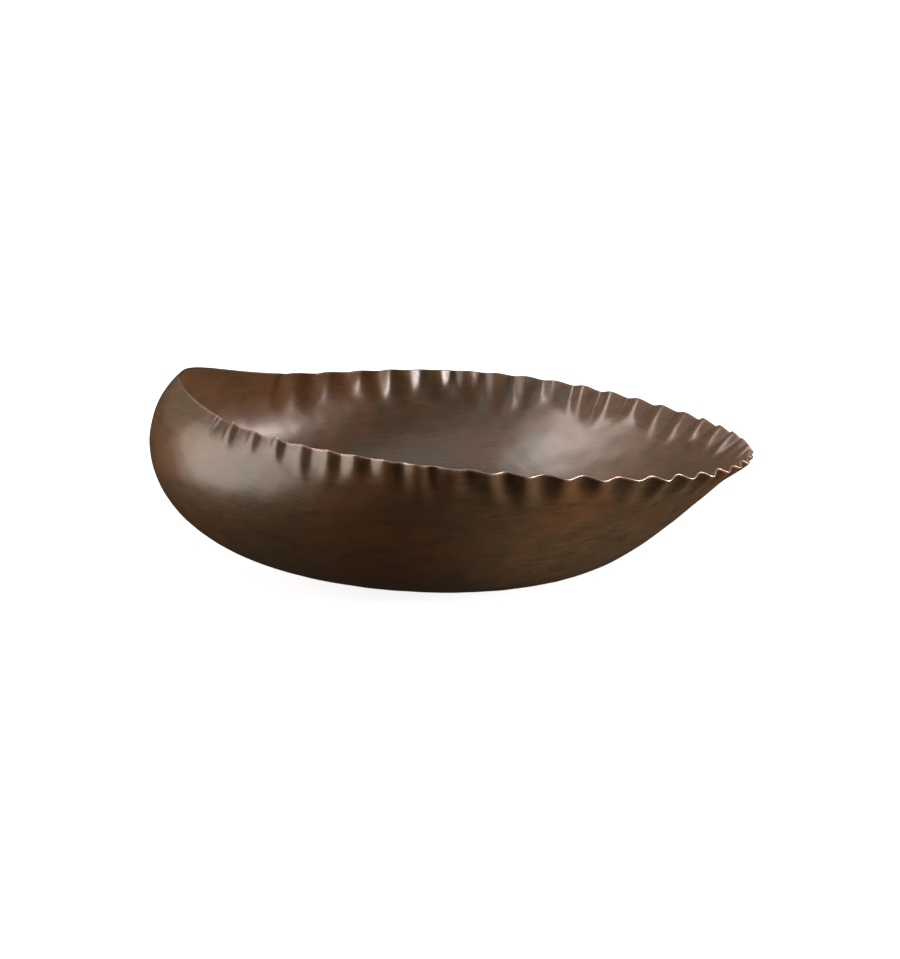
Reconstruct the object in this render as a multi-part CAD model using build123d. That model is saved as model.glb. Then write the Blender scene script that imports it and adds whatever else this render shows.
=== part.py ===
from build123d import *
import math
import os

os.makedirs("parts", exist_ok=True)

# Hammered copper bowl: one raised sheet with a crimped rim, on four felt pads.
# Millimetres and degrees. The bowl stands on z = 0. Angles run from +x, the low
# flared side, through +y to -x, the tall nose that curls back over the bowl.

# Sheet and base.
sheet = 1.2
base_radius = 62.0
base_shift = 11.5

# Rim seen from above: a mean radius, then how far it leaves a circle.
rim_radius = 201.7
width_ratio = 0.995
oval = 0.042
pear = 0.007
corner = 0.0255
skew = 0.03

# Wall at three stations round the rim: low side, flank, nose. The heights and the
# leans are at the rim; belly and haunch say how far the curve runs flat along the
# table and straight below the rim, as shares of the reach and of the height.
low_side_height = 90.3
flank_height = 116.8
nose_height = 126.6
rim_height = (low_side_height, flank_height, nose_height)
lean = (49.2, 14.0, -51.7)
belly = (0.33, 0.58, 1.25)
haunch = (0.88, 0.48, 0.39)

# Extra lift of the nose tip, and the twist that sets its peak off the centre line.
nose_lift = 25.3
nose_spread = 22.3
twist = 2.5

# Crimped ruffles round the rim, from the first crease to the last.
ruffle_count = 41
first_crease = 211.7
last_crease = 498.9
ruffle_depth = 2.3
ruffle_length = 31.0
crease_sharpness = 2.0
ruffle_runout = 0.3

# The first few ruffles, beside the nose: shallower, shorter and sharper lobes that
# are pushed up as well as out and hook over towards the next crease. front_reach is
# the share of the ruffled run over which they settle down to the rest.
front_reach = 0.13
front_shallower = 0.9
front_shorter = 11.0
front_sharpness = 1.0
front_rise = 1.1
front_hook = 0.25

# Felt pads under the base.
pad_count = 4
pad_radius = 10.0
pad_thickness = 1.6
pad_edge_gap = 4.0

# How finely the wall is measured out.
columns = 480
rows = 16


def around(angle, stations):
    """Blend the low side, flank and nose values smoothly round the bowl."""
    low, flank, nose = stations
    mean = (low + nose + 2 * flank) / 4
    tilt = (low - nose) / 2
    swell = (low + nose - 2 * flank) / 4
    return mean + tilt * math.cos(angle) + swell * math.cos(2 * angle)


def rim_point(angle):
    """Point on the rim line before it is ruffled."""
    plan = 1 + oval * math.cos(2 * angle) + corner * math.cos(4 * angle)
    plan = plan + pear * math.cos(3 * angle) + skew * math.sin(2 * angle)
    reach = rim_radius * plan
    from_nose = math.degrees(angle) % 360 - 180
    lift = nose_lift * math.exp(-0.5 * (from_nose / nose_spread) ** 2)
    height = around(angle, rim_height) + lift + twist * math.sin(2 * angle)
    return Vector(reach * math.cos(angle), width_ratio * reach * math.sin(angle), height)


def smooth_point(angle, climb):
    """Point on the unruffled wall; climb runs from 0 at the base to 1 at the rim."""
    rim = rim_point(angle)
    away = Vector(rim.X - base_shift, rim.Y, 0)
    reach = away.length
    slope = math.radians(around(angle, lean))
    out_1 = base_radius + around(angle, belly) * (reach - base_radius)
    hold = around(angle, haunch) * rim.Z
    out_2 = reach - hold * math.sin(slope)
    up_2 = rim.Z - hold * math.cos(slope)
    rest = 1 - climb
    out = rest**3 * base_radius + 3 * rest**2 * climb * out_1
    out = out + 3 * rest * climb**2 * out_2 + climb**3 * reach
    up = 3 * rest * climb**2 * up_2 + climb**3 * rim.Z
    return Vector(base_shift, 0, up) + away * (out / reach)


def run_part(angle):
    """Share of the ruffled run passed at an angle: 0 at its first crease, 1 at its last."""
    turn = math.degrees(angle) % 360
    if turn < first_crease - 40:
        turn = turn + 360
    return (turn - first_crease) / (last_crease - first_crease)


def front_share(part):
    """1 at the first crease beside the nose, fading to 0 along the ruffled run."""
    return math.exp(-((max(part, 0) / front_reach) ** 2))


def ruffle_push(part, drop):
    """How far the ruffles push the wall outwards, at a drop below the rim."""
    past_end = max(-part, part - 1, 0) * ruffle_count
    drift = 0.46 * math.sin(math.pi * part) - 0.64 * math.sin(2 * math.pi * part)
    drift = drift + 0.61 * math.sin(3 * math.pi * part) + 0.38 * math.sin(4 * math.pi * part)
    number = ruffle_count * part + drift - 0.26 * math.sin(6 * math.pi * part)
    front = front_share(part)
    length = (ruffle_length - front_shorter * front) * (1 + 0.2 * math.sin(1.9 * number))
    if past_end > ruffle_runout or drop > length:
        return 0
    depth = ruffle_depth - front_shallower * front
    depth = depth * (1 + 0.16 * math.sin(2.7 * number) + 0.12 * math.sin(1.3 * number))
    end_fade = math.cos(math.pi / 2 * past_end / ruffle_runout) ** 2
    drop_fade = (1 - (drop / length) ** 2) ** 2
    sharpness = crease_sharpness + front_sharpness * front
    lobe = number - front_hook * front * math.sin(math.pi * number) ** 2
    wave = 1 - 2 * abs(math.cos(math.pi * lobe)) ** sharpness
    return depth * end_fade * drop_fade * wave


def smooth_rings():
    """Rings of points on the unruffled wall, from the base up to the rim."""
    rings = []
    for row in range(rows + 1):
        climb = 1 - (1 - row / rows) ** 1.3
        turns = [math.pi * (1 + 2 * column / columns) for column in range(columns)]
        rings.append([smooth_point(angle, climb) for angle in turns])
    return rings


def outward(rings, row, column):
    """Unit normal of a ringed wall at one of its points, pointing out of the bowl."""
    ring = rings[row]
    above = rings[min(row + 1, rows)][column]
    below = rings[max(row - 1, 0)][column]
    along = ring[(column + 1) % columns] - ring[column - 1]
    return along.cross(above - below).normalized()


def moved_rings(rings, push):
    """Move every point of the rings by push, which is given its normal and its place."""
    moved = []
    for row in range(rows + 1):
        ring = []
        for column in range(columns):
            step = push(outward(rings, row, column), row, column)
            ring.append(rings[row][column] + step)
        moved.append(ring)
    return moved


def outer_rings():
    """Outside of the wall: the smooth wall with the ruffles pressed into it."""
    smooth = smooth_rings()

    def ruffle(normal, row, column):
        part = run_part(math.pi * (1 + 2 * column / columns))
        rise = min(normal.Z, 0) + front_rise * front_share(part)
        heading = Vector(normal.X, normal.Y, rise).normalized()
        drop = (smooth[rows][column] - smooth[row][column]).length
        return heading * ruffle_push(part, drop)

    return moved_rings(smooth, ruffle)


def inward_sheet(normal, row, column):
    """Step from the outside of the sheet to its inside."""
    return normal * -sheet


def wall_face(rings, base_height):
    """One smooth closed face through the rings, with its base ring set level."""
    closed = [ring + [ring[0]] for ring in rings]
    closed[0] = [Vector(point.X, point.Y, base_height) for point in closed[0]]
    return Face.make_surface_from_array_of_points(closed, tol=0.02, min_deg=3, max_deg=3)


def end_edges(face):
    """The closed edges of a wall face: the one at the base, then the one at the rim."""
    loops = [edge for edge in face.edges() if edge.is_closed]
    loops.sort(key=lambda edge: edge.center().Z)
    return loops[0], loops[-1]


def bowl_shell(outside, middle):
    """The raised sheet: outside, inside, flat base and cut rim, closed into a solid."""
    outer = wall_face(outside, 0)
    inner = wall_face(moved_rings(outside, inward_sheet), sheet)
    outer_base, outer_rim = end_edges(outer)
    inner_base, inner_rim = end_edges(inner)
    rim = Face.make_surface_from_curves(outer_rim, inner_rim)
    under = Face(Wire(outer_base))
    floor = Face(Wire(inner_base))
    sewn = Face.sew_faces([outer, inner, rim, under, floor])
    solid = Solid(Shell(sewn[0]))
    return Pos(-middle.X, -middle.Y, pad_thickness) * solid


def plan_middle(rings):
    """Middle of the bowl's outline seen from above."""
    across = [point.X for ring in rings for point in ring]
    deep = [point.Y for ring in rings for point in ring]
    return Vector((min(across) + max(across)) / 2, (min(deep) + max(deep)) / 2, 0)


def felt_pad(number, middle):
    """One round self-adhesive felt pad under the base."""
    angle = 2 * math.pi * number / pad_count
    circle = base_radius - pad_edge_gap - pad_radius
    x = base_shift - middle.X + circle * math.cos(angle)
    y = circle * math.sin(angle) - middle.Y
    pad = Cylinder(pad_radius, pad_thickness, align=(Align.CENTER, Align.CENTER, Align.MIN))
    return Pos(x, y, 0) * pad


outside = outer_rings()
middle = plan_middle(outside)
shell = bowl_shell(outside, middle)
export_step(shell, "parts/bowl_shell.step")
for number in range(pad_count):
    export_step(felt_pad(number, middle), f"parts/felt_pad_{number + 1}.step")
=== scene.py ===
import math
import bpy
import numpy as np
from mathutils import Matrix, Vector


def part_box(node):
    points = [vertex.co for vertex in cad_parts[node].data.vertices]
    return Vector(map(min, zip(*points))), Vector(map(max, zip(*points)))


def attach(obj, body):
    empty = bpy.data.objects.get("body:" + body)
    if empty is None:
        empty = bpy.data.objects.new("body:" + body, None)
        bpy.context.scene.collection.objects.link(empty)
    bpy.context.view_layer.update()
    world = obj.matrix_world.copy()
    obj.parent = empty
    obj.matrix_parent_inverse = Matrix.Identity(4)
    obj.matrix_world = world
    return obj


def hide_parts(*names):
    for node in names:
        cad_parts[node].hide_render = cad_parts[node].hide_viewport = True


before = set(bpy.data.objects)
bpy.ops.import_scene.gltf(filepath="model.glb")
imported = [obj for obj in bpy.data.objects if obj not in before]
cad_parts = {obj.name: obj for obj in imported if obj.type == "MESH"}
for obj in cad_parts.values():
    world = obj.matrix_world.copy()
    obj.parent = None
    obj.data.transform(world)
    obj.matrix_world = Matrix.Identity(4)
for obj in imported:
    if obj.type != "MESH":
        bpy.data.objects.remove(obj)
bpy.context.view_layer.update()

# ---- The bowl ----
# One disc of copper sheet, 1.2 mm thick, raised over a stake with a planishing hammer until its
# belly, its curled nose and its low flared side stand up. Its rim is then crimped into ruffles.
# It is browned with a chemical patina, waxed, and its cut edge is rubbed bright.

# Metres and degrees. Sheet, base, and the rim seen from above.
SHEET = 0.0012
BASE_RADIUS = 0.062
BASE_SHIFT = 0.0115
RIM_RADIUS = 0.2017
WIDTH_RATIO = 0.995
OVAL = 0.042
PEAR = 0.007
CORNER = 0.0255
SKEW = 0.03

# The wall at three stations: low side, flank and nose.
RIM_HEIGHT = (0.0903, 0.1168, 0.1266)
LEAN = (49.2, 14.0, -51.7)
BELLY = (0.33, 0.58, 1.25)
HAUNCH = (0.88, 0.48, 0.39)
NOSE_LIFT = 0.0253
NOSE_SPREAD = 22.3
TWIST = 0.0025

# The crimped ruffles, and how the first few beside the nose differ.
RUFFLES = 41
FIRST_CREASE = 211.7
LAST_CREASE = 498.9
RUFFLE_DEPTH = 0.0023
RUFFLE_LENGTH = 0.031
CREASE_SHARPNESS = 2.0
RUNOUT = 0.3
FRONT_REACH = 0.13
FRONT_SHALLOWER = 0.0009
FRONT_SHORTER = 0.011
FRONT_SHARPNESS = 1.0
FRONT_RISE = 1.1
FRONT_HOOK = 0.25

# How finely the sheet is measured out, and the depth of one planishing dent.
ROUND_COUNT = 1320
WALL_COUNT = 84
DENT_DEPTH = 0.00005
shell_low, shell_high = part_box("bowl_shell")


def around(turn, low, flank, nose):
    """Blend the low side, flank and nose values smoothly round the bowl."""
    mean = (low + nose + 2 * flank) / 4
    swell = (low + nose - 2 * flank) / 4
    return mean + (low - nose) / 2 * np.cos(turn) + swell * np.cos(2 * turn)


def smooth_wall(turn, climb):
    """Rows of points on the raised wall before it is ruffled, base to rim."""
    plan = 1 + OVAL * np.cos(2 * turn) + PEAR * np.cos(3 * turn) + CORNER * np.cos(4 * turn)
    plan = plan + SKEW * np.sin(2 * turn)
    rim_x = RIM_RADIUS * plan * np.cos(turn) - BASE_SHIFT
    rim_y = RIM_RADIUS * plan * WIDTH_RATIO * np.sin(turn)
    from_nose = np.degrees(turn) % 360 - 180
    rim_z = around(turn, *RIM_HEIGHT) + TWIST * np.sin(2 * turn)
    rim_z = rim_z + NOSE_LIFT * np.exp(-0.5 * (from_nose / NOSE_SPREAD) ** 2)
    reach = np.hypot(rim_x, rim_y)
    slope = np.radians(around(turn, *LEAN))
    out_1 = BASE_RADIUS + around(turn, *BELLY) * (reach - BASE_RADIUS)
    hold = around(turn, *HAUNCH) * rim_z
    out_2 = reach - hold * np.sin(slope)
    up_2 = rim_z - hold * np.cos(slope)
    up = climb[:, None]
    rest = 1 - up
    out = rest**3 * BASE_RADIUS + 3 * rest**2 * up * out_1 + 3 * rest * up**2 * out_2 + up**3 * reach
    high = 3 * rest * up**2 * up_2 + up**3 * rim_z
    return np.stack([BASE_SHIFT + out * rim_x / reach, out * rim_y / reach, high], axis=-1)


def faces_out(points):
    """Unit normals of a wall of points, pointing out of the bowl."""
    along = np.roll(points, -1, axis=1) - np.roll(points, 1, axis=1)
    upward = np.gradient(points, axis=0)
    normal = np.cross(along, upward)
    return normal / np.linalg.norm(normal, axis=-1, keepdims=True)


def run_part(turn):
    """Share of the ruffled run passed: 0 at its first crease, 1 at its last."""
    degree = np.degrees(turn) % 360
    degree = np.where(degree < FIRST_CREASE - 40, degree + 360, degree)
    return (degree - FIRST_CREASE) / (LAST_CREASE - FIRST_CREASE)


def front_share(part):
    """1 at the first crease beside the nose, fading to 0 along the ruffled run."""
    return np.exp(-((np.maximum(part, 0) / FRONT_REACH) ** 2))


def ruffle_push(part, drop):
    """How far the crimping pushes the wall out, and where that is: -1 in a crease, 1 on a crest."""
    past_end = np.maximum(np.maximum(-part, part - 1), 0) * RUFFLES
    number = RUFFLES * part + 0.46 * np.sin(np.pi * part) - 0.64 * np.sin(2 * np.pi * part)
    number = number + 0.61 * np.sin(3 * np.pi * part) + 0.38 * np.sin(4 * np.pi * part)
    number = number - 0.26 * np.sin(6 * np.pi * part)
    front = front_share(part)
    length = (RUFFLE_LENGTH - FRONT_SHORTER * front) * (1 + 0.2 * np.sin(1.9 * number))
    depth = RUFFLE_DEPTH - FRONT_SHALLOWER * front
    depth = depth * (1 + 0.16 * np.sin(2.7 * number) + 0.12 * np.sin(1.3 * number))
    end_fade = np.cos(np.pi / 2 * np.clip(past_end / RUNOUT, 0, 1)) ** 2
    drop_fade = (1 - np.clip(drop / length, 0, 1) ** 2) ** 2
    lobe = number - FRONT_HOOK * front * np.sin(np.pi * number) ** 2
    wave = 1 - 2 * np.abs(np.cos(np.pi * lobe)) ** (CREASE_SHARPNESS + FRONT_SHARPNESS * front)
    return depth * end_fade * drop_fade * wave, end_fade * drop_fade * wave


round_turn = np.pi + 2 * np.pi * np.arange(ROUND_COUNT) / ROUND_COUNT
wall_climb = 1 - (1 - np.linspace(0, 1, WALL_COUNT)) ** 1.25
wall_climb[-1] = 0.9975
smooth = smooth_wall(round_turn, wall_climb)
drop = np.linalg.norm(smooth[-1:] - smooth, axis=-1)
passed = run_part(round_turn[None, :])
push, crimp = ruffle_push(passed, drop)
heading = faces_out(smooth)
heading[..., 2] = np.minimum(heading[..., 2], 0) + FRONT_RISE * front_share(passed)
heading = heading / np.linalg.norm(heading, axis=-1, keepdims=True)
outside = smooth + heading * push[..., None]

# Planishing leaves the wall gently uneven: shallow overlapping dents, about a tenth of a
# millimetre deep.
spread = np.stack([outside[..., 0], outside[..., 1], outside[..., 2]])
dents = np.zeros(outside.shape[:2])
for pass_number in range(9):
    slant = 2.4 * pass_number
    pitch = 150 + 38 * pass_number
    line = math.cos(slant) * spread[0] + math.sin(slant) * spread[1]
    line = line + math.cos(1.7 * pass_number) * spread[2]
    dents = dents + np.sin(pitch * line + 1.9 * pass_number) / (1 + 0.35 * pass_number)
settle = np.clip(drop / 0.012, 0, 1) * np.clip((wall_climb[:, None] - 0.02) / 0.1, 0, 1)
outside = outside - faces_out(outside) * (DENT_DEPTH * (dents + 2.5) * settle)[..., None]
wall_out = faces_out(outside)
inside = outside - wall_out * SHEET

# The cut edge is filed round between the two skins.
edge_middle = (outside[-1] + inside[-1]) / 2
edge_side = (outside[-1] - inside[-1]) / 2
edge_up = outside[-1] - outside[-2]
edge_up = edge_up / np.linalg.norm(edge_up, axis=-1, keepdims=True) * SHEET / 2
edge_rings = []
for step in range(1, 6):
    bend = math.pi * step / 6
    edge_rings.append(edge_middle + edge_side * math.cos(bend) + edge_up * math.sin(bend))

# Base rings run in flat to the middle, outside first, so the sheet closes on itself.
base_middle = np.array([BASE_SHIFT, 0.0, 0.0])
inward = np.linspace(1, 0, 12)[1:-1]
under_rings = [base_middle + (outside[0] - base_middle) * share for share in inward[::-1]]
floor_middle = np.array([BASE_SHIFT, 0.0, inside[0][:, 2].mean()])
floor_rings = [floor_middle + (inside[0] - floor_middle) * share for share in inward]

rings = under_rings + list(outside) + edge_rings + list(inside[::-1]) + floor_rings
points = np.concatenate(rings + [base_middle[None, :], floor_middle[None, :]])
middle_x = (outside[..., 0].min() + outside[..., 0].max()) / 2
middle_y = (outside[..., 1].min() + outside[..., 1].max()) / 2
stand_x = (shell_low[0] + shell_high[0]) / 2
stand_y = (shell_low[1] + shell_high[1]) / 2
points = points + np.array([stand_x - middle_x, stand_y - middle_y, shell_low[2]])

ring_total = len(rings)
under_centre = ring_total * ROUND_COUNT
floor_centre = under_centre + 1
here = np.arange(ROUND_COUNT)
there = (here + 1) % ROUND_COUNT
quads = []
for ring in range(ring_total - 1):
    first = ring * ROUND_COUNT
    second = first + ROUND_COUNT
    quads.append(np.stack([first + here, first + there, second + there, second + here], axis=1))
quads = np.concatenate(quads)
last = (ring_total - 1) * ROUND_COUNT
caps = [(under_centre, int(b), int(a)) for a, b in zip(here, there)]
caps = caps + [(floor_centre, int(last + a), int(last + b)) for a, b in zip(here, there)]

bowl_mesh = bpy.data.meshes.new("raised_bowl")
bowl_mesh.from_pydata(points.tolist(), [], quads.tolist() + caps)
bowl_mesh.validate()
bowl_mesh.update()
for face in bowl_mesh.polygons:
    face.use_smooth = True
bowl = bpy.data.objects.new("raised_bowl", bowl_mesh)
bpy.context.collection.objects.link(bowl)

# How near each point is to the bare edge, and to the bottom of a crease, for the patina to follow.
spare = [np.full(ROUND_COUNT, 0.3)] * len(under_rings)
edge_drop = [np.zeros(ROUND_COUNT)] * len(edge_rings)
drop_rings = spare + list(drop) + edge_drop + list(drop[::-1]) + spare
# Painted highlight and shade: the edge wear is real, but this ring sets its strength round the bowl. It is
# strongest towards the front and right, facing the camera and the right lamp, and weakest towards the
# back-left.
lit_rubbed_ring = 0.12 + 0.88 * np.clip(0.62 - 0.75 * np.sin(round_turn) + 0.35 * np.cos(round_turn), 0, 1) ** 1.5
lit_rubbed_rings = [lit_rubbed_ring] * len(drop_rings)
no_crimp = [np.zeros(ROUND_COUNT)] * len(under_rings)
edge_crimp = [crimp[-1]] * len(edge_rings)
crimp_rings = no_crimp + list(crimp) + edge_crimp + list(-crimp[::-1]) + no_crimp
for label, values in (("rim_drop", drop_rings), ("crimp", crimp_rings), ("rubbed_and_lit", lit_rubbed_rings)):
    layer = bowl_mesh.attributes.new(label, "FLOAT", "POINT")
    filled = np.concatenate([np.concatenate(values), [0.3 if label == "rim_drop" else 0.0] * 2])
    layer.data.foreach_set("value", filled.astype(np.float32))


class Bench:
    """Short ways to add and join the nodes of one finish."""

    def __init__(self, name):
        self.finish = bpy.data.materials.new(name)
        self.finish.use_nodes = True
        self.nodes = self.finish.node_tree.nodes
        self.links = self.finish.node_tree.links
        self.skin = self.nodes["Principled BSDF"]
        self.place = self.nodes.new("ShaderNodeTexCoord").outputs["Object"]

    def stretch(self, scale, turn=(0, 0, 0)):
        node = self.nodes.new("ShaderNodeMapping")
        node.inputs["Scale"].default_value = scale
        node.inputs["Rotation"].default_value = turn
        self.links.new(self.place, node.inputs["Vector"])
        return node.outputs["Vector"]

    def grain(self, where, scale, detail=4.0, rough=0.55, bend=0.0):
        node = self.nodes.new("ShaderNodeTexNoise")
        node.inputs["Scale"].default_value = scale
        node.inputs["Detail"].default_value = detail
        node.inputs["Roughness"].default_value = rough
        node.inputs["Distortion"].default_value = bend
        self.links.new(where, node.inputs["Vector"])
        return node.outputs["Fac"]

    def fit(self, value, low, high, to_low=0.0, to_high=1.0):
        node = self.nodes.new("ShaderNodeMapRange")
        node.interpolation_type = "SMOOTHSTEP"
        ends = {"From Min": low, "From Max": high, "To Min": to_low, "To Max": to_high}
        for socket, amount in ends.items():
            node.inputs[socket].default_value = amount
        self.links.new(value, node.inputs["Value"])
        return node.outputs["Result"]

    def combine(self, kind, first, second):
        node = self.nodes.new("ShaderNodeMath")
        node.operation = kind
        for socket, source in zip(node.inputs, (first, second)):
            if isinstance(source, (int, float)):
                socket.default_value = source
            else:
                self.links.new(source, socket)
        return node.outputs["Value"]

    def blend(self, amount, under, over, kind="MIX"):
        node = self.nodes.new("ShaderNodeMix")
        node.data_type = "RGBA"
        node.blend_type = kind
        for socket, source in ((node.inputs[0], amount), (node.inputs[6], under), (node.inputs[7], over)):
            if isinstance(source, (int, float)):
                socket.default_value = source
            elif isinstance(source, tuple):
                socket.default_value = source + (1.0,)
            else:
                self.links.new(source, socket)
        return node.outputs[2]

    def dent(self, height, strength, distance, onto=None):
        node = self.nodes.new("ShaderNodeBump")
        node.inputs["Strength"].default_value = strength
        node.inputs["Distance"].default_value = distance
        self.links.new(height, node.inputs["Height"])
        if onto is not None:
            self.links.new(onto, node.inputs["Normal"])
        return node.outputs["Normal"]

    def layer(self, label):
        node = self.nodes.new("ShaderNodeAttribute")
        node.attribute_name = label
        return node.outputs["Fac"]


# Brown patina: red-brown and olive-brown clouds over copper, small blue-black spots, and the
# fine level scratches left by the rubbing cloth, over a wax that greys the highlights.
patina = Bench("brown_patina")
rim_drop = patina.layer("rim_drop")
crease = patina.layer("crimp")
rubbed_and_lit = patina.layer("rubbed_and_lit")
clouds = patina.grain(patina.stretch((1, 1, 1.6)), 11.0, 3.0, 0.5, 0.4)
blotches = patina.grain(patina.stretch((1, 1, 2.4)), 46.0, 7.0, 0.68, 0.2)
specks = patina.grain(patina.stretch((1, 1, 2.2)), 170.0, 4.0, 0.6)
wipe = patina.grain(patina.stretch((34, 34, 900)), 1.0, 3.0, 0.65, 0.1)
long_wipe = patina.grain(patina.stretch((14, 14, 420)), 1.0, 2.0, 0.6, 0.1)
brown = patina.blend(patina.fit(clouds, 0.38, 0.64), (0.182, 0.076, 0.029), (0.126, 0.069, 0.029))
brown = patina.blend(patina.fit(blotches, 0.50, 0.74, 0.0, 0.60), brown, (0.235, 0.096, 0.038))
brown = patina.blend(patina.fit(blotches, 0.48, 0.30, 0.0, 0.65), brown, (0.062, 0.042, 0.026))
dark_spot = patina.combine("MULTIPLY", patina.fit(specks, 0.58, 0.70), patina.fit(clouds, 0.45, 0.58))
brown = patina.blend(patina.combine("MULTIPLY", dark_spot, 0.60), brown, (0.026, 0.026, 0.030))
brown = patina.blend(patina.fit(wipe, 0.50, 0.78, 0.0, 0.40), brown, (0.280, 0.160, 0.080))
brown = patina.blend(patina.fit(wipe, 0.46, 0.26, 0.0, 0.35), brown, (0.066, 0.040, 0.024))
in_crease = patina.fit(crease, -0.15, -0.9, 0.0, 0.35)
brown = patina.blend(in_crease, brown, (0.040, 0.026, 0.018))
near_edge = patina.fit(rim_drop, 0.0016, 0.0002)
edge_break = patina.fit(patina.grain(patina.place, 130.0, 3.0), 0.30, 0.60)
# Near the edge the patina wears to pale copper. This is real wear, weighted by that ring, so it is also a
# painted highlight towards the front and right.
worn_and_lit = patina.combine("MULTIPLY", patina.combine("MULTIPLY", near_edge, edge_break), rubbed_and_lit)
rubbed_crest = patina.fit(rim_drop, 0.014, 0.0, 0.0, 0.12)
on_crest = patina.combine("MULTIPLY", patina.fit(crease, 0.60, 1.0), rubbed_crest)
worn_and_lit = patina.combine("MAXIMUM", worn_and_lit, on_crest)
brown = patina.blend(worn_and_lit, brown, (0.480, 0.300, 0.210))
patina.links.new(brown, patina.skin.inputs["Base Color"])
cloudy_gloss = patina.fit(blotches, 0.35, 0.70, 0.33, 0.42)
gloss = patina.combine("ADD", cloudy_gloss, patina.fit(wipe, 0.45, 0.75, 0.0, 0.06))
patina.links.new(gloss, patina.skin.inputs["Roughness"])
patina.skin.inputs["Metallic"].default_value = 0.15
patina.skin.inputs["Coat Weight"].default_value = 0.75
patina.skin.inputs["Coat Roughness"].default_value = 0.29
patina.skin.inputs["Coat IOR"].default_value = 1.55
shallow = patina.dent(patina.grain(patina.place, 55.0, 3.0, 0.5), 0.40, 0.0006)
fine = patina.dent(wipe, 0.30, 0.00005, shallow)
fine = patina.dent(long_wipe, 0.22, 0.00008, fine)
patina.links.new(fine, patina.skin.inputs["Normal"])
bowl_mesh.materials.append(patina.finish)

# Bare copper on the filed edge, rubbed bright and a little pink.
bare = Bench("bare_copper_edge")
edge_tone = bare.grain(bare.place, 160.0, 4.0)
copper = bare.blend(bare.fit(edge_tone, 0.38, 0.66), (0.66, 0.46, 0.36), (0.42, 0.28, 0.21))
# Painted highlight and shade: the bare edge stays bright towards the front and right, and is painted dark
# brown towards the back-left, away from the lamps.
copper = bare.blend(bare.fit(bare.layer("rubbed_and_lit"), 0.10, 0.80, 1.0, 0.0), copper, (0.110, 0.068, 0.044))
bare.links.new(copper, bare.skin.inputs["Base Color"])
bare.links.new(bare.fit(edge_tone, 0.35, 0.70, 0.38, 0.52), bare.skin.inputs["Roughness"])
bare.skin.inputs["Metallic"].default_value = 1.0
bare.links.new(bare.dent(bare.grain(bare.place, 900.0, 2.0), 0.25, 0.00005), bare.skin.inputs["Normal"])
bowl_mesh.materials.append(bare.finish)
edge_first = (len(under_rings) + WALL_COUNT - 1) * ROUND_COUNT
edge_last = edge_first + (len(edge_rings) + 1) * ROUND_COUNT
on_edge = np.zeros(len(bowl_mesh.polygons), dtype=np.int32)
on_edge[edge_first:edge_last] = 1
bowl_mesh.polygons.foreach_set("material_index", on_edge)

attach(bowl, "root")
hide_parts("bowl_shell")

# ---- Felt pads ----
# Four discs punched from dark wool felt with a gummed back, pressed onto the flat base so the
# copper doesn't mark the table. Their cut edges bulge and fray a little.
PAD_RINGS = ((1.0, 1.0), (1.0, 0.90), (0.94, 0.55), (0.97, 0.18), (0.93, 0.0), (0.55, 0.0))
PAD_SIDES = 72

felt = Bench("dark_felt")
fibres = felt.grain(felt.place, 900.0, 6.0, 0.7, 1.5)
tufts = felt.grain(felt.place, 260.0, 3.0, 0.6)
nap = felt.blend(felt.fit(fibres, 0.35, 0.68), (0.018, 0.016, 0.015), (0.060, 0.054, 0.048))
nap = felt.blend(felt.fit(tufts, 0.45, 0.70, 0.0, 0.35), nap, (0.090, 0.080, 0.070))
felt.links.new(nap, felt.skin.inputs["Base Color"])
felt.skin.inputs["Roughness"].default_value = 0.95
felt.skin.inputs["Sheen Weight"].default_value = 0.35
felt.skin.inputs["Sheen Roughness"].default_value = 0.5
felt.links.new(felt.dent(fibres, 0.6, 0.0004), felt.skin.inputs["Normal"])

for number in range(1, 5):
    low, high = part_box(f"felt_pad_{number}")
    centre = [(low[axis] + high[axis]) / 2 for axis in range(3)]
    radius = (high[0] - low[0]) / 2
    pad_points = []
    for share, height in PAD_RINGS:
        for side in range(PAD_SIDES):
            swing = 2 * math.pi * side / PAD_SIDES
            fray = 1 - 0.006 * (1 + math.sin(11 * swing + 3 * number)) * (1 + math.cos(17 * swing))
            pad_points.append((centre[0] + radius * share * fray * math.cos(swing),
                               centre[1] + radius * share * fray * math.sin(swing),
                               low[2] + (high[2] - low[2]) * height))
    top_centre = len(pad_points)
    pad_points.append((centre[0], centre[1], high[2]))
    pad_points.append((centre[0], centre[1], low[2]))
    pad_faces = []
    for side in range(PAD_SIDES):
        after = (side + 1) % PAD_SIDES
        pad_faces.append((top_centre, side, after))
        for ring in range(len(PAD_RINGS) - 1):
            above = ring * PAD_SIDES
            below = above + PAD_SIDES
            pad_faces.append((above + side, below + side, below + after, above + after))
        last_ring = (len(PAD_RINGS) - 1) * PAD_SIDES
        pad_faces.append((top_centre + 1, last_ring + after, last_ring + side))
    pad_mesh = bpy.data.meshes.new(f"soft_pad_{number}")
    pad_mesh.from_pydata(pad_points, [], pad_faces)
    pad_mesh.update()
    for face in pad_mesh.polygons:
        face.use_smooth = len(face.vertices) == 4
    pad_mesh.materials.append(felt.finish)
    pad = bpy.data.objects.new(f"soft_pad_{number}", pad_mesh)
    bpy.context.collection.objects.link(pad)
    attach(pad, "root")
    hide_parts(f"felt_pad_{number}")

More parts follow.
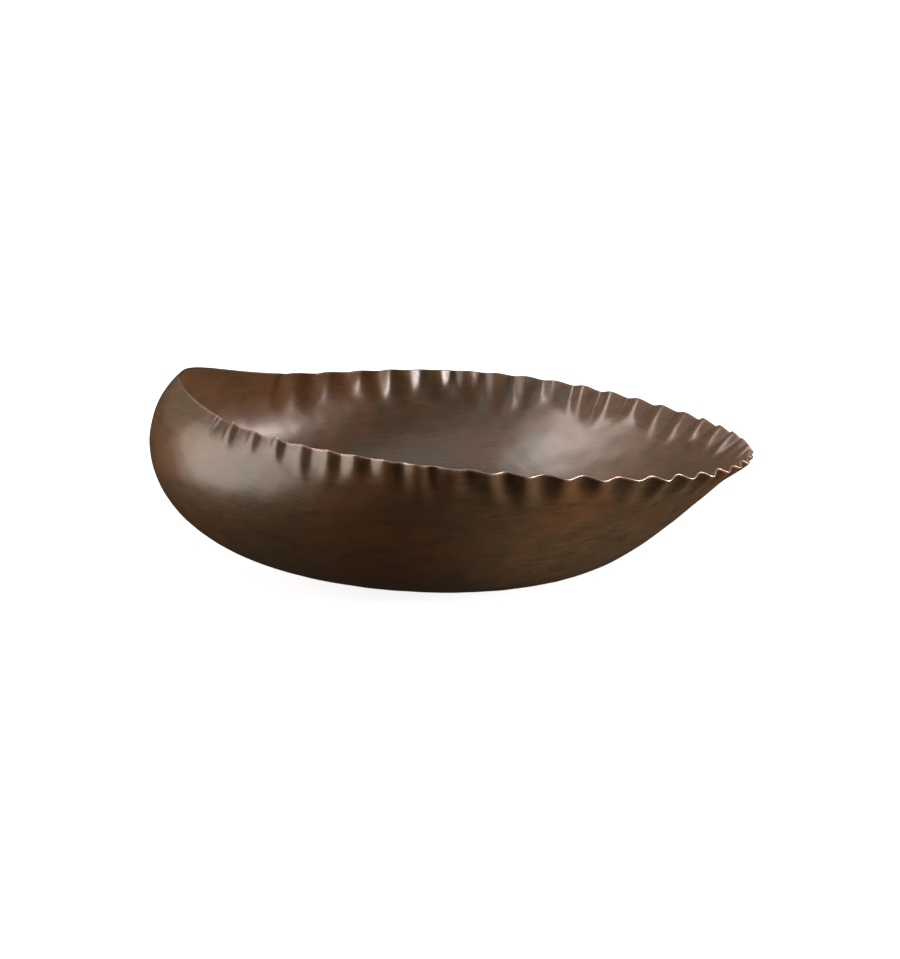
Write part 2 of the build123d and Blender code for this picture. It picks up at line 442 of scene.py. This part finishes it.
# ---- Floor, light and camera ----
# A pale sweep under the bowl, with wide soft boxes hung round it. The bowl's polish picks up the
# boxes and not the floor, so its underside stays dark.
floor_mesh = bpy.data.meshes.new("pale_floor")
floor_mesh.from_pydata([(-6, -6, 0), (6, -6, 0), (6, 9, 0), (-6, 9, 0)], [], [(0, 1, 2, 3)])
floor = bpy.data.objects.new("pale_floor", floor_mesh)
bpy.context.collection.objects.link(floor)
paint = Bench("pale_paint")
paper = paint.grain(paint.place, 3.0, 2.0)
tone = paint.blend(paint.fit(paper, 0.3, 0.7), (0.90, 0.90, 0.90), (0.93, 0.93, 0.93))
paint.links.new(tone, paint.skin.inputs["Base Color"])
paint.skin.inputs["Roughness"].default_value = 0.9
floor_mesh.materials.append(paint.finish)
paint.skin.inputs["Emission Color"].default_value = (1, 1, 1, 1)
paint.skin.inputs["Emission Strength"].default_value = 0.86
floor.visible_glossy = False
floor.visible_diffuse = False
floor.visible_shadow = False

sky = bpy.data.worlds.new("studio")
sky.use_nodes = True
sky_nodes = sky.node_tree.nodes
sky_links = sky.node_tree.links
room = sky_nodes["Background"]
room.inputs["Strength"].default_value = 1.0
facing = sky_nodes.new("ShaderNodeTexCoord")
split = sky_nodes.new("ShaderNodeSeparateXYZ")
sky_links.new(facing.outputs["Generated"], split.inputs["Vector"])
shade = sky_nodes.new("ShaderNodeValToRGB")
shade.color_ramp.elements[0].position = 0.0
shade.color_ramp.elements[0].color = (0.018, 0.016, 0.014, 1)
shade.color_ramp.elements[1].position = 1.0
shade.color_ramp.elements[1].color = (0.36, 0.345, 0.315, 1)
mid = shade.color_ramp.elements.new(0.22)
mid.color = (0.13, 0.12, 0.105, 1)
sky_links.new(split.outputs["Z"], shade.inputs["Fac"])
sky_links.new(shade.outputs["Color"], room.inputs["Color"])
seen = sky_nodes.new("ShaderNodeBackground")
seen.inputs["Color"].default_value = (1, 1, 1, 1)
seen.inputs["Strength"].default_value = 1.0
ray = sky_nodes.new("ShaderNodeLightPath")
pick = sky_nodes.new("ShaderNodeMixShader")
sky_links.new(ray.outputs["Is Camera Ray"], pick.inputs["Fac"])
sky_links.new(room.outputs["Background"], pick.inputs[1])
sky_links.new(seen.outputs["Background"], pick.inputs[2])
sky_links.new(pick.outputs["Shader"], sky_nodes["World Output"].inputs["Surface"])
bpy.context.scene.world = sky


def soft_box(name, spot, target, width, height, power, tint=(1, 1, 1)):
    """Hang one soft box and point it at the bowl."""
    lamp = bpy.data.lights.new(name, "AREA")
    lamp.shape = "RECTANGLE"
    lamp.size = width
    lamp.size_y = height
    lamp.energy = power
    lamp.color = tint
    box = bpy.data.objects.new(name, lamp)
    bpy.context.collection.objects.link(box)
    box.location = spot
    aim = np.array(target) - np.array(spot)
    turn_z = math.atan2(aim[1], aim[0]) - math.pi / 2
    turn_x = math.acos(-aim[2] / np.linalg.norm(aim))
    box.rotation_euler = (turn_x, 0, turn_z)
    return box


soft_box("left_box", (-2.2, -0.35, 0.25), (0, 0, 0.05), 1.9, 1.8, 32, (1, 0.97, 0.92))
soft_box("left_high_box", (-1.62, -0.23, 2.02), (0, 0, 0.05), 0.9, 0.7, 17, (1, 0.99, 0.97))
soft_box("right_box", (2.50, -0.30, 0.12), (0, 0, 0.05), 1.4, 0.9, 84, (1, 1, 1))
soft_box("top_box", (0.2, -1.1, 2.3), (0, 0, 0.05), 2.4, 1.4, 7, (1, 0.98, 0.95))

elevation = math.radians(11.97)
away = 2.4
aim_point = (0, 0, 0.0716)
camera_data = bpy.data.cameras.new("view")
camera_data.lens = 118.85
camera_data.sensor_width = 36
camera_data.sensor_fit = "AUTO"
camera_data.shift_x = -0.00300
camera_data.shift_y = -0.00209
camera = bpy.data.objects.new("view", camera_data)
bpy.context.collection.objects.link(camera)
camera.location = (aim_point[0], aim_point[1] - away * math.cos(elevation),
                   aim_point[2] + away * math.sin(elevation))
camera.rotation_euler = (math.pi / 2 - elevation, 0, 0)
bpy.context.scene.camera = camera
bpy.context.scene.view_settings.view_transform = "Standard"
